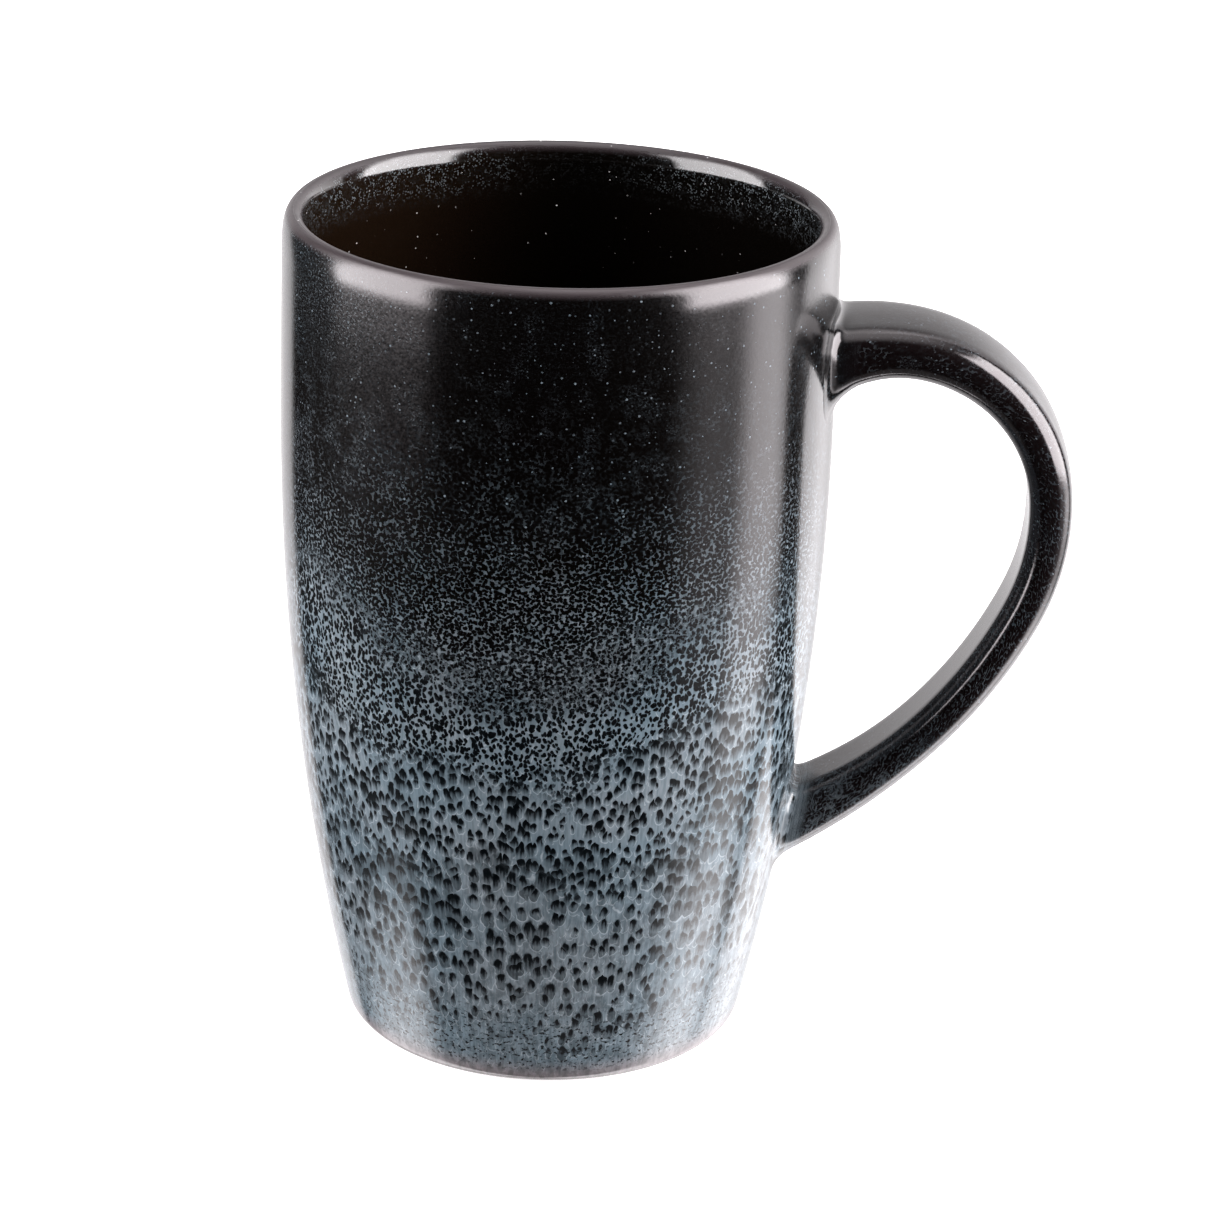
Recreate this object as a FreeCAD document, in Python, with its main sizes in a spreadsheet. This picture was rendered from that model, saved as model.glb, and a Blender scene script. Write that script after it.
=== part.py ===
import FreeCAD, Part
import os
import Sketcher
from FreeCAD import Placement, Rotation, Vector

# Tall ceramic mug: thrown cup body, strap handle bonded on with slip, liner glaze and outer
# glaze. Frame: Z up, origin at the centre of the standing plane, handle on the +X side.
# Lengths in mm, angles in degrees.

doc = FreeCAD.newDocument("mug")

# Driving dimensions. Text that starts with "=" is worked out from the others.
DIMS = [
    # overall glazed form
    ("height_all", "125.6"), ("belly_rad", "40.2"), ("belly_lvl", "93"),
    ("rim_rad", "40.0"), ("lip_round", "1.7"), ("wall_bend", "410"),
    ("heel_round", "2.5"), ("heel_lift", "0.6"), ("glaze_thk", "0.4"),
    # foot ring and floor, bare clay below
    ("foot_out", "26.2"), ("foot_in", "22.4"), ("recess_hgt", "2.4"), ("floor_lvl", "7.6"),
    # cavity, at the liner surface
    ("cavity_bend", "377"), ("corner_round", "8"),
    # outer wall: centres of the lower and upper wall arcs, heel circle, lip circle
    ("wall_cx", "=belly_rad - wall_bend"),
    ("rise", "=height_all - lip_round - belly_lvl"),
    ("draw_in", "=belly_rad - rim_rad"),
    ("top_bend", "=(draw_in^2 + rise^2) / (2 * draw_in)"),
    ("top_cx", "=belly_rad - top_bend"),
    ("heel_cz", "=heel_lift + heel_round"),
    ("heel_cx", "=wall_cx + sqrt((wall_bend - heel_round)^2 - (belly_lvl - heel_cz)^2)"),
    ("lip_cz", "=height_all - lip_round"),
    ("lip_cx", "=top_cx + sqrt((top_bend - lip_round)^2 - rise^2)"),
    # cavity wall: straight from lip to belly, then an arc into the floor corner
    ("bore_rad", "=lip_cx - lip_round"),
    ("cav_cx", "=bore_rad - cavity_bend"),
    ("corner_cz", "=floor_lvl + glaze_thk + corner_round"),
    ("corner_cx", "=cav_cx + sqrt((cavity_bend - corner_round)^2 - (belly_lvl - corner_cz)^2)"),
    # handle centre line: three tangent arcs, given by their radius and end heading
    ("root_x", "40.5"), ("root_z", "106.9"), ("head_top", "19"), ("bend_a", "23.8"),
    ("head_ab", "-85"), ("bend_b", "36.5"), ("head_bc", "-114"), ("bend_c", "72"),
    ("arc_ax", "=root_x + bend_a * sin(head_top * 1 deg)"),
    ("arc_az", "=root_z - bend_a * cos(head_top * 1 deg)"),
    ("arc_bx", "=arc_ax - (bend_a - bend_b) * sin(head_ab * 1 deg)"),
    ("arc_bz", "=arc_az + (bend_a - bend_b) * cos(head_ab * 1 deg)"),
    ("arc_cx", "=arc_bx - (bend_b - bend_c) * sin(head_bc * 1 deg)"),
    ("arc_cz", "=arc_bz + (bend_b - bend_c) * cos(head_bc * 1 deg)"),
    # handle section at the glaze surface, and the slip bond to the cup
    ("strap_round", "2.2"), ("skin_fillet", "2.2"), ("bond_thk", "0.8"), 
    ("block_side", "60"), ("upper_low", "75"), ("lower_low", "10"),
]

# Handle stations from the upper root to the lower root:
# heading of the centre line, arc it lies on, thickness, width.
STATIONS = [
    (33, "a", 10.6, 18.6),
    (19, "a", 9.0, 17.9),
    (-2, "a", 7.3, 17.0),
    (-30, "a", 6.7, 16.1),
    (-60, "a", 6.3, 15.1),
    (-85, "a", 6.1, 14.2),
    (-112, "b", 6.0, 13.2),
    (-126, "c", 6.0, 12.6),
    (-138, "c", 6.3, 12.5),
    (-147, "c", 7.4, 12.7),
    (-154, "c", 8.8, 13.1),
    (-161, "c", 10.4, 13.6),
]

sheet = doc.addObject("Spreadsheet::Sheet", "dims")
row = 0


def put(alias, text):
    """Adds one named dimension to the sheet."""
    global row
    row += 1
    sheet.set(f"A{row}", alias)
    sheet.set(f"B{row}", text)
    sheet.setAlias(f"B{row}", alias)


def offset_profile(tag, skin):
    """Adds the outline points of the outer wall and the cavity, SKIN below the glaze."""
    s = skin
    put(f"{tag}_wall_r", f"=wall_bend - {s}")
    put(f"{tag}_top_r", f"=top_bend - {s}")
    put(f"{tag}_heel_r", f"=heel_round - {s}")
    put(f"{tag}_lip_r", f"=lip_round - {s}")
    put(f"{tag}_cav_r", f"=cavity_bend + {s}")
    put(f"{tag}_corner_r", f"=corner_round + {s}")
    put(f"{tag}_heel_z", f"=heel_lift + {s}")
    put(f"{tag}_belly_x", f"=belly_rad - {s}")
    put(f"{tag}_bore_x", f"=bore_rad + {s}")
    put(f"{tag}_lip_z", f"=height_all - {s}")
    put(f"{tag}_floor_z", f"=floor_lvl + glaze_thk - {s}")
    # tangent points: heel to wall, wall to lip, cavity wall to floor corner
    for name, cx, cz, ox, oz, big, small, grow in (
        ("tan_heel", "wall_cx", "belly_lvl", "heel_cx", "heel_cz",
         "wall_bend", "heel_round", f"(wall_bend - {s})"),
        ("tan_lip", "top_cx", "belly_lvl", "lip_cx", "lip_cz",
         "top_bend", "lip_round", f"(top_bend - {s})"),
        ("tan_corner", "cav_cx", "belly_lvl", "corner_cx", "corner_cz",
         "cavity_bend", "corner_round", f"(cavity_bend + {s})"),
    ):
        put(f"{tag}_{name}_x", f"={cx} + ({ox} - {cx}) * {grow} / ({big} - {small})")
        put(f"{tag}_{name}_z", f"={cz} + ({oz} - {cz}) * {grow} / ({big} - {small})")


for alias, text in DIMS:
    put(alias, text)
offset_profile("clay", "glaze_thk")
offset_profile("skin", "0")
put("bond_out", "=glaze_thk - bond_thk")
offset_profile("bond", "bond_out")
for i, (heading, arc, thick, wide) in enumerate(STATIONS):
    put(f"head_s{i}", str(heading))
    put(f"thick_s{i}", str(thick))
    put(f"wide_s{i}", str(wide))
    put(f"pos_x_s{i}", f"=arc_{arc}x - bend_{arc} * sin(head_s{i} * 1 deg)")
    put(f"pos_z_s{i}", f"=arc_{arc}z + bend_{arc} * cos(head_s{i} * 1 deg)")
    for tag, skin in (("clay", "glaze_thk"), ("skin", "0")):
        put(f"{tag}_y_s{i}", f"=wide_s{i} / 2 - {skin}")
        put(f"{tag}_z_s{i}", f"=thick_s{i} / 2 - {skin}")
        put(f"{tag}_fy_s{i}", f"=wide_s{i} / 2 - strap_round")
        put(f"{tag}_fz_s{i}", f"=thick_s{i} / 2 - strap_round")
put("clay_strap_r", "=strap_round - glaze_thk")
put("skin_strap_r", "=strap_round")
doc.recompute()


def value(alias):
    return float(getattr(sheet.get(alias), "Value", sheet.get(alias)))


def plane(body, role):
    return next(f for f in body.Origin.OriginFeatures if f.Role == role)


def new_body(name):
    body = doc.addObject("PartDesign::Body", name)
    body.Label = name
    return body


def new_sketch(body, name, role):
    sketch = body.newObject("Sketcher::SketchObject", name)
    sketch.AttachmentSupport = (plane(body, role), [""])
    sketch.MapMode = "FlatFace"
    return sketch


def coordinate(point_part):
    """The number and sign of an alias, a "-alias", or 0."""
    if point_part == 0:
        return 0.0
    if point_part.startswith("-"):
        return -value(point_part[1:])
    return value(point_part)


def outline(sketch, points, edges):
    """Draws a closed outline. POINTS maps names to (alias, alias) pairs; EDGES lists
    (start, end) lines and (start, end, radius alias, side) arcs, side +1 bulging left."""
    where = {n: Vector(coordinate(a), coordinate(b), 0) for n, (a, b) in points.items()}
    ends = {n: [] for n in points}
    for edge in edges:
        p, q = where[edge[0]], where[edge[1]]
        if len(edge) == 2:
            geo = sketch.addGeometry(Part.LineSegment(p, q), False)
            start_pos = 1
        else:
            radius, side = value(edge[2]), edge[3]
            half = (q - p).Length / 2
            left = Vector(-(q - p).y, (q - p).x, 0).normalize()
            sagitta = radius - (radius**2 - half**2) ** 0.5
            mid = (p + q) * 0.5 + left * (side * sagitta)
            arc = Part.Arc(p, mid, q).toShape().Curve
            centre = arc.Center
            a, b = (p, q) if side < 0 else (q, p)
            angle = [float(Vector(1, 0, 0).getAngle(v - centre)) for v in (a, b)]
            angle = [t if (v - centre).y >= 0 else -t for t, v in zip(angle, (a, b))]
            circle = Part.Circle(centre, Vector(0, 0, 1), radius)
            geo = sketch.addGeometry(Part.ArcOfCircle(circle, angle[0], angle[1]), False)
            start_pos = 1 if side < 0 else 2
            number = sketch.addConstraint(Sketcher.Constraint("Radius", geo, radius))
            sketch.setExpression(f"Constraints[{number}]", f"dims.{edge[2]}")
        ends[edge[0]].append((geo, start_pos))
        ends[edge[1]].append((geo, 3 - start_pos))
    for name, parts in points.items():
        (g0, e0), (g1, e1) = ends[name]
        sketch.addConstraint(Sketcher.Constraint("Coincident", g0, e0, g1, e1))
        for kind, axis, part in (("DistanceX", -2, parts[0]), ("DistanceY", -1, parts[1])):
            if part == 0:
                sketch.addConstraint(Sketcher.Constraint("PointOnObject", g0, e0, axis))
                continue
            alias = part.lstrip("-")
            order = (-1, 1, g0, e0) if part == alias else (g0, e0, -1, 1)
            number = sketch.addConstraint(Sketcher.Constraint(kind, *order, value(alias)))
            sketch.setExpression(f"Constraints[{number}]", f"dims.{alias}")
    doc.recompute()


def revolve(body, sketch, kind="PartDesign::Revolution"):
    feature = body.newObject(kind, body.Name + "_turn" + str(len(body.Group)))
    feature.Profile = sketch
    feature.ReferenceAxis = (sketch, ["V_Axis"])
    feature.Angle = 360
    sketch.Visibility = False
    doc.recompute()
    return feature


def wall_edges(tag):
    """Outer wall from the heel bottom to the top of the lip."""
    points = {
        "heel": ("heel_cx", f"{tag}_heel_z"),
        "turn": (f"{tag}_tan_heel_x", f"{tag}_tan_heel_z"),
        "belly": (f"{tag}_belly_x", "belly_lvl"),
        "rim": (f"{tag}_tan_lip_x", f"{tag}_tan_lip_z"),
        "top": ("lip_cx", f"{tag}_lip_z"),
    }
    edges = [
        ("heel", "turn", f"{tag}_heel_r", -1),
        ("turn", "belly", f"{tag}_wall_r", -1),
        ("belly", "rim", f"{tag}_top_r", -1),
        ("rim", "top", f"{tag}_lip_r", -1),
    ]
    return points, edges


def cavity_edges(tag):
    """Cavity wall from the top of the lip to the middle of the floor."""
    points = {
        f"{tag}_top": ("lip_cx", f"{tag}_lip_z"),
        f"{tag}_mouth": (f"{tag}_bore_x", "lip_cz"),
        f"{tag}_hip": (f"{tag}_bore_x", "belly_lvl"),
        f"{tag}_low": (f"{tag}_tan_corner_x", f"{tag}_tan_corner_z"),
        f"{tag}_flat": ("corner_cx", f"{tag}_floor_z"),
        f"{tag}_mid": (0, f"{tag}_floor_z"),
    }
    edges = [
        (f"{tag}_top", f"{tag}_mouth", f"{tag}_lip_r", -1),
        (f"{tag}_mouth", f"{tag}_hip"),
        (f"{tag}_hip", f"{tag}_low", f"{tag}_cav_r", 1),
        (f"{tag}_low", f"{tag}_flat", f"{tag}_corner_r", 1),
        (f"{tag}_flat", f"{tag}_mid"),
    ]
    return points, edges


# Cup body: clay wall, floor and foot ring in one turned piece.
cup = new_body("cup_body")
cup_sketch = new_sketch(cup, "cup_outline", "XZ_Plane")
points, edges = wall_edges("clay")
inner_points, inner_edges = cavity_edges("clay")
inner_points["top"] = inner_points.pop("clay_top")
points.update(inner_points)
points.update({
    "under": (0, "recess_hgt"),
    "recess": ("foot_in", "recess_hgt"),
    "ring_in": ("foot_in", 0),
    "ring_out": ("foot_out", 0),
    "ledge": ("foot_out", "clay_heel_z"),
})
edges += [("top",) + inner_edges[0][1:]] + inner_edges[1:]
edges += [("clay_mid", "under"), ("under", "recess"), ("recess", "ring_in"),
          ("ring_in", "ring_out"), ("ring_out", "ledge"), ("ledge", "heel")]
outline(cup_sketch, points, edges)
revolve(cup, cup_sketch)

# Liner glaze: an even coat over the cavity, from the top of the lip to the floor.
liner = new_body("liner_glaze")
liner_sketch = new_sketch(liner, "liner_outline", "XZ_Plane")
points, edges = cavity_edges("clay")
skin_points, skin_edges = cavity_edges("skin")
points.update(skin_points)
edges += skin_edges + [("clay_top", "skin_top"), ("clay_mid", "skin_mid")]
outline(liner_sketch, points, edges)
revolve(liner, liner_sketch)


def filled_cup(name, tag):
    """The cup's outer form without its cavity, at the clay, glaze or bond surface."""
    body = new_body(name)
    sketch = new_sketch(body, name + "_outline", "YZ_Plane")
    points, edges = wall_edges(tag)
    if tag == "skin":
        points.update({
            "step_top": ("lip_cx", "clay_lip_z"), "high_mid": (0, "clay_lip_z"),
            "low_mid": (0, "clay_heel_z"), "step_low": ("heel_cx", "clay_heel_z"),
        })
        edges += [("top", "step_top"), ("step_top", "high_mid"), ("high_mid", "low_mid"),
                  ("low_mid", "step_low"), ("step_low", "heel")]
    else:
        points.update({"low_mid": (0, f"{tag}_heel_z"), "high_mid": (0, f"{tag}_lip_z")})
        edges += [("top", "high_mid"), ("high_mid", "low_mid"), ("low_mid", "heel")]
    outline(sketch, points, edges)
    revolve(body, sketch)
    return body


def strap(name, tag):
    """The handle strap, lofted through rounded sections square to its centre line."""
    body = new_body(name)
    sections = []
    for i in range(len(STATIONS)):
        sketch = new_sketch(body, f"{name}_s{i}", "YZ_Plane")
        sketch.AttachmentOffset = Placement(
            Vector(0, value(f"pos_z_s{i}"), value(f"pos_x_s{i}")),
            Rotation(Vector(1, 0, 0), -value(f"head_s{i}")),
        )
        sketch.setExpression("AttachmentOffset.Base.y", f"dims.pos_z_s{i}")
        sketch.setExpression("AttachmentOffset.Base.z", f"dims.pos_x_s{i}")
        y, z, fy, fz = (f"{tag}_{k}_s{i}" for k in ("y", "z", "fy", "fz"))
        points = {
            "a": ("-" + fy, z), "b": (fy, z), "c": (y, fz), "d": (y, "-" + fz),
            "e": (fy, "-" + z), "f": ("-" + fy, "-" + z),
            "g": ("-" + y, "-" + fz), "h": ("-" + y, fz),
        }
        r = f"{tag}_strap_r"
        outline(sketch, points, [
            ("a", "b"), ("b", "c", r, 1), ("c", "d"), ("d", "e", r, 1),
            ("e", "f"), ("f", "g", r, 1), ("g", "h"), ("h", "a", r, 1),
        ])
        sections.append(sketch)
    loft = body.newObject("PartDesign::AdditiveLoft", name + "_loft")
    loft.Profile = sections[0]
    loft.Sections = sections[1:]
    loft.Ruled = False
    doc.recompute()
    return body


core_clay = filled_cup("core_clay", "clay")
core_skin = filled_cup("core_skin", "skin")
core_bond = filled_cup("core_bond", "bond")
strap_clay = strap("strap_clay", "clay")
strap_skin = strap("strap_skin", "skin")


def combine(kind, name, base, tool, refine=False):
    """A boolean of two objects that keeps both in the document."""
    result = doc.addObject(kind, name)
    if kind == "Part::MultiFuse":
        result.Shapes = [base, tool]
    else:
        result.Base, result.Tool = base, tool
    result.Refine = refine
    result.Label = name
    doc.recompute()
    return result


def blend(name, core, loop_strap, alias):
    """Core and strap in one solid, with a concave fillet all along both joint lines."""
    whole = combine("Part::MultiFuse", name + "_sharp", core, loop_strap, True)
    joint = []
    for number, edge in enumerate(whole.Shape.Edges, 1):
        first, last = edge.FirstParameter, edge.LastParameter
        probes = [Part.Vertex(edge.valueAt(first + (last - first) * t)) for t in (0.3, 0.5)]
        if all(o.Shape.distToShape(p)[0] < 1e-3 for o in (core, loop_strap) for p in probes):
            joint.append(number)
    fillet = doc.addObject("Part::Fillet", name)
    fillet.Base = whole
    fillet.Edges = [(number, value(alias), value(alias)) for number in joint]
    doc.recompute()
    return fillet


# Handle: the strap, stopping one slip layer short of the wall at both ends.
handle = combine("Part::Cut", "handle", strap_clay, core_bond)

# Slip joints: the layer of slip between the wall and each end of the handle.
slip_strap = combine("Part::Cut", "slip_strap", strap_clay, core_clay)
slip_both = combine("Part::Common", "slip_both", slip_strap, core_bond)
joints = []
for name, low in (("upper_slip_joint", "upper_low"), ("lower_slip_joint", "lower_low")):
    block = doc.addObject("Part::Box", name + "_block")
    for side in ("Length", "Width", "Height"):
        block.setExpression(side, "dims.block_side")
    block.setExpression("Placement.Base.y", "-dims.block_side / 2")
    block.setExpression("Placement.Base.z", f"dims.{low}")
    doc.recompute()
    joints.append(combine("Part::Common", name, slip_both, block))

# Outer glaze: one coat over the outer wall and the handle, with a fillet of pooled glaze
# all along both joint lines.
bonded_skin = blend("bonded_skin", core_skin, strap_skin, "skin_fillet")
glaze_wall = combine("Part::Cut", "glaze_wall", bonded_skin, core_clay)
outer_glaze = combine("Part::Cut", "outer_glaze", glaze_wall, strap_clay)

# Checks, then one STEP file per piece.
for item in doc.Objects:
    if "Invalid" in item.State or "Error" in item.State:
        raise RuntimeError(f"{item.Name} did not compute: {item.State}")
os.makedirs("parts", exist_ok=True)
for piece in (cup, liner, handle, *joints, outer_glaze):
    if piece.Shape.isNull() or not piece.Shape.isValid():
        raise RuntimeError(f"{piece.Label} has no valid shape")
    piece.Shape.exportStep(f"parts/{piece.Label}.step")
    print(piece.Label, round(piece.Shape.Volume, 1), "mm3")
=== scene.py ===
import math

import bpy
from mathutils import Matrix, Vector


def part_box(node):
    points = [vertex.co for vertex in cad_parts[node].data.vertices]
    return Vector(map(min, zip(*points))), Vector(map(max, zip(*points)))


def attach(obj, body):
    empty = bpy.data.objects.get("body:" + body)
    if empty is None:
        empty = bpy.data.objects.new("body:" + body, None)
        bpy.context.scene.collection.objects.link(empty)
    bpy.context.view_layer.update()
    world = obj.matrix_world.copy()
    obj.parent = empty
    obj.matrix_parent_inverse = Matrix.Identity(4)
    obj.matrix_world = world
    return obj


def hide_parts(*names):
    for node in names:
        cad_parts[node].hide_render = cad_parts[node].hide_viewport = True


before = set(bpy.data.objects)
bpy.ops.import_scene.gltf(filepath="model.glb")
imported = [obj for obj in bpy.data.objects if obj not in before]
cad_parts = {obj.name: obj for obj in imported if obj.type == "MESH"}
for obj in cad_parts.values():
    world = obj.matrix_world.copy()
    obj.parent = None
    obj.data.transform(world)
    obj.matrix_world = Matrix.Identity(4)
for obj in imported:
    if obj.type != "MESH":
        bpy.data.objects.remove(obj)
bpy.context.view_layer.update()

MM = 0.001

# ---------------------------------------------------------------- sizes
skin_low, skin_high = [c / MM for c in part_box("outer_glaze")]
liner_low, _ = [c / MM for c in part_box("liner_glaze")]
GLAZE = 0.4  # thickness of each coat in the frame
SKIN = 0.38  # thickness of the coats drawn here, clear of the clay below
STEPS_ROUND = 288

# The outer wall is one long arc below its widest point and a flatter one above.
HEIGHT = skin_high.z
BELLY = -skin_low.x  # the widest radius, on the side away from the handle
BELLY_AT = 93.0
DRAW_IN = 0.2  # how much narrower the wall is at the lip
RIM = BELLY - DRAW_IN
WALL_BEND = 410.0
WALL_CENTRE = BELLY - WALL_BEND
HEEL = 2.5  # radius of the rounded edge at the foot
HEEL_AT = skin_low.z + HEEL
HEEL_CENTRE = WALL_CENTRE + math.sqrt((WALL_BEND - HEEL) ** 2 - (BELLY_AT - HEEL_AT) ** 2)

# The lip is rounded over. Its outer side starts to lean in at the shoulder.
LIP = 1.7  # half its thickness
LIP_AT = HEIGHT - LIP
LIP_CENTRE = RIM - LIP
TOP_BEND = (DRAW_IN**2 + (LIP_AT - BELLY_AT) ** 2) / (2 * DRAW_IN)
SHOULDER_AT = HEIGHT - 6.0

# The bore is straight near the lip, then one long arc down to a rounded corner at the floor.
BORE = LIP_CENTRE - LIP
BORE_BEND = 377.0
CORNER = 8.0
FLOOR_AT = liner_low.z + GLAZE
INNER_LIP = 3.2
INNER_LIP_TURN = 81
OVERHANG = 0.04
CREASE = 0.3
AXIS_GAP = 0.05  # keeps the innermost ring of the floor from shrinking to a point


def wall_radius(z):
    """Radius of the glazed outer wall at height z."""
    if z > BELLY_AT:
        return BELLY - TOP_BEND + math.sqrt(TOP_BEND**2 - (z - BELLY_AT) ** 2)
    return WALL_CENTRE + math.sqrt(WALL_BEND**2 - (BELLY_AT - z) ** 2)


def arc(cx, cz, radius, start, end, steps):
    """Points of an arc from start to end degrees, both included."""
    points = []
    for i in range(steps + 1):
        a = math.radians(start + (end - start) * i / steps)
        points.append((cx + radius * math.cos(a), cz + radius * math.sin(a)))
    return points


def shoulder(inset, steps=26):
    """The lip's outer side: it leans in slowly at first and turns over at the crown."""
    fullness = 2 / 3.8
    closeness = 1.5  # above 1, the points crowd towards the start
    tall = HEIGHT - SHOULDER_AT - inset
    wide = wall_radius(HEIGHT) - LIP_CENTRE
    points = []
    for i in range(steps + 1):
        t = math.pi / 2 * (i / steps) ** closeness
        z = SHOULDER_AT + tall * math.sin(t) ** fullness
        points.append((wall_radius(z) - wide * (1 - math.cos(t)) - inset * math.cos(t), z))
    return points


def outer_profile(inset):
    """(radius, height) from the underside of the heel to the crown of the lip."""
    turn = math.degrees(math.asin((BELLY_AT - HEEL_AT) / (WALL_BEND - HEEL)))
    crest = math.degrees(math.asin((SHOULDER_AT - BELLY_AT) / TOP_BEND))
    points = arc(HEEL_CENTRE, HEEL_AT, HEEL - inset, -90, -turn, 14)
    points += arc(WALL_CENTRE, BELLY_AT, WALL_BEND - inset, -turn, 0, 90)[1:]
    points += arc(BELLY - TOP_BEND, BELLY_AT, TOP_BEND - inset, 0, crest, 20)[1:]
    return points + shoulder(inset)[1:]


def inner_lip(inset, steps=18):
    """From the crown down to the bore, with a soft crease where the lip meets it."""
    wide = LIP_CENTRE - BORE + OVERHANG - inset
    tall = INNER_LIP - inset
    edge = HEIGHT - INNER_LIP
    points = []
    for i in range(steps + 1):
        t = math.radians(90 - INNER_LIP_TURN * i / steps)
        r = LIP_CENTRE - wide * math.cos(t)
        points.append((r, HEIGHT - inset - tall * (1 - math.sin(t))))
    return points + [(BORE - OVERHANG / 2 + inset, edge + CREASE), (BORE + inset, edge)]


def liner_profile(inset):
    """(radius, height) from the crown of the lip to the middle of the inside floor."""
    straight_steps, floor_steps = 16, 10
    edge = HEIGHT - INNER_LIP
    floor = FLOOR_AT - inset
    bend_centre = BORE - BORE_BEND
    corner_at = FLOOR_AT + CORNER
    reach, drop = BORE_BEND - CORNER, BELLY_AT - corner_at
    corner_centre = bend_centre + math.sqrt(reach**2 - drop**2)
    turn = math.degrees(math.asin(drop / reach))
    points = inner_lip(inset)
    for i in range(1, straight_steps + 1):
        points.append((BORE + inset, edge + (BELLY_AT - edge) * i / straight_steps))
    points += arc(bend_centre, BELLY_AT, BORE_BEND + inset, 0, -turn, 60)[1:]
    points += arc(corner_centre, corner_at, CORNER + inset, -turn, -90, 14)[1:]
    points += [(corner_centre * (1 - i / floor_steps), floor) for i in range(1, floor_steps)]
    return points + [(AXIS_GAP, floor)]


# ---------------------------------------------------------------- meshes
def strip_lengths(rows, strips):
    """Distance along the first line of a grid at the start of each strip and at the end."""
    lengths = [0.0]
    for i in range(strips):
        a, b = Vector(rows[i][0]), Vector(rows[(i + 1) % len(rows)][0])
        lengths.append(lengths[-1] + (a - b).length)
    return lengths


def grid_mesh(name, rows, closed, shown, attributes=None):
    """A mesh of four-sided faces from rows of points; each row is a closed ring.
    With closed, the last row joins the first. The OFBake layer lays the first shown strips
    over nearly all of the sheet, and the others share a thin band of it."""
    margin, band_top, sheet_foot, sheet_top = 0.002, 0.02, 0.03, 0.995
    count = len(rows[0])
    strips = len(rows) if closed else len(rows) - 1
    lengths = strip_lengths(rows, strips)
    full, rest = lengths[shown], lengths[-1] - lengths[shown]

    def across(k):
        return margin + (1 - 2 * margin) * k / count

    def upward(i):
        if i <= shown:
            return sheet_foot + (sheet_top - sheet_foot) * lengths[i] / full
        return band_top * (lengths[i] - full) / rest

    faces, uvs = [], []
    for i in range(strips):
        low = upward(i) if i != shown else 0.0
        high = upward(i + 1)
        j = (i + 1) % len(rows)
        for k in range(count):
            n = (k + 1) % count
            faces.append((i * count + k, i * count + n, j * count + n, j * count + k))
            uvs += [across(k), low, across(k + 1), low, across(k + 1), high, across(k), high]
    mesh = bpy.data.meshes.new(name)
    mesh.from_pydata([Vector(p) * MM for row in rows for p in row], [], faces)
    mesh.uv_layers.new(name="OFBake").data.foreach_set("uv", uvs)
    for key, values in (attributes or {}).items():
        mesh.attributes.new(key, "FLOAT", "POINT").data.foreach_set("value", values)
    mesh.polygons.foreach_set("use_smooth", [True] * len(faces))
    mesh.update()
    return link(name, mesh)


def link(name, data):
    """A new object in the scene."""
    obj = bpy.data.objects.new(name, data)
    bpy.context.collection.objects.link(obj)
    return obj


def lathe(name, profile):
    """Turns a skin's profile and its inner face round Z into one closed shell.
    The rings start at the back, so the seam of the bake layer is there."""
    front, back = profile(0), profile(SKIN)
    rows = []
    for r, z in front + back[::-1]:
        row = []
        for k in range(STEPS_ROUND):
            a = math.pi / 2 + 2 * math.pi * k / STEPS_ROUND
            row.append((r * math.cos(a), r * math.sin(a), z))
        rows.append(row)
    return grid_mesh(name, rows, True, len(front) - 1)


# ---------------------------------------------------------------- handle
# The centreline leaves the wall heading 33 degrees up and turns down through three arcs that
# run into each other: the headings at which each starts and ends, its radius and its centre.
ARCS = (
    (33, -85, 23.8, Vector((48.25, 0, 84.40))),
    (-85, -114, 36.5, Vector((35.60, 0, 83.29))),
    (-114, -161, 72.0, Vector((3.17, 0, 97.73))),
)
LAST_HEADING = ARCS[-1][1]
# Heading, thickness and width of the strap at stations along it.
STRAP = (
    (33, 10.6, 18.6), (19, 9.0, 17.9), (-2, 7.3, 17.0), (-30, 6.7, 16.1), (-60, 6.3, 15.1),
    (-85, 6.1, 14.2), (-112, 6.0, 13.2), (-126, 6.0, 12.6), (-138, 6.3, 12.5),
    (-147, 7.4, 12.7), (-154, 8.8, 13.1), (-161, 10.4, 13.6),
)
EDGE = 2.5  # radius of the strap's long edges
EDGE_STEPS, SIDE_STEPS, FACE_STEPS = 6, 4, 10
CROWN = 0.35  # swell of the outer face at its middle
SIDE_CROWN = 0.5  # swell of each side where the strap is USUAL_THICK
USUAL_THICK = 7
SIDE_SHARPNESS = 8  # how little of the face takes part in the sides' swell
STEPS_ALONG = 150
TOP_FLARE = 2.6  # reach of the fillet at the upper end
INNER_FLARE = 1.2  # and what its inner side has on top of that
LOW_FLARE = 2.4
FILLET_STEPS = 10
TUCK, TUCK_DEPTHS = 0.4, (0.01, 0.13)  # the skin's end, tucked just under the wall's surface
UPPER_PART, LOWER_PART = 0.3, 0.7  # shares of the run that hold each end's meeting with the wall
HALVINGS = 22  # steps of the search for where a line of the strap meets the wall
HOLD_FROM, HOLD_TO = 1.5, 3.5  # stand-off over which wall pattern turns into handle pattern
GIRTH_START = 400  # keeps the handle's part of the pattern away from the wall's


def outward(heading):
    """Direction from the centre of the centreline's bend to a point with that heading."""
    a = math.radians(heading)
    return Vector((-math.sin(a), 0, math.cos(a)))


def run_at(heading):
    """Length along the centreline at a heading."""
    total = 0.0
    for start, end, radius, _ in ARCS:
        total += math.radians(start - max(end, min(start, heading))) * radius
    return total


RUN = run_at(LAST_HEADING)
STATION_RUNS = [run_at(heading) for heading, _, _ in STRAP]


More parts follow.
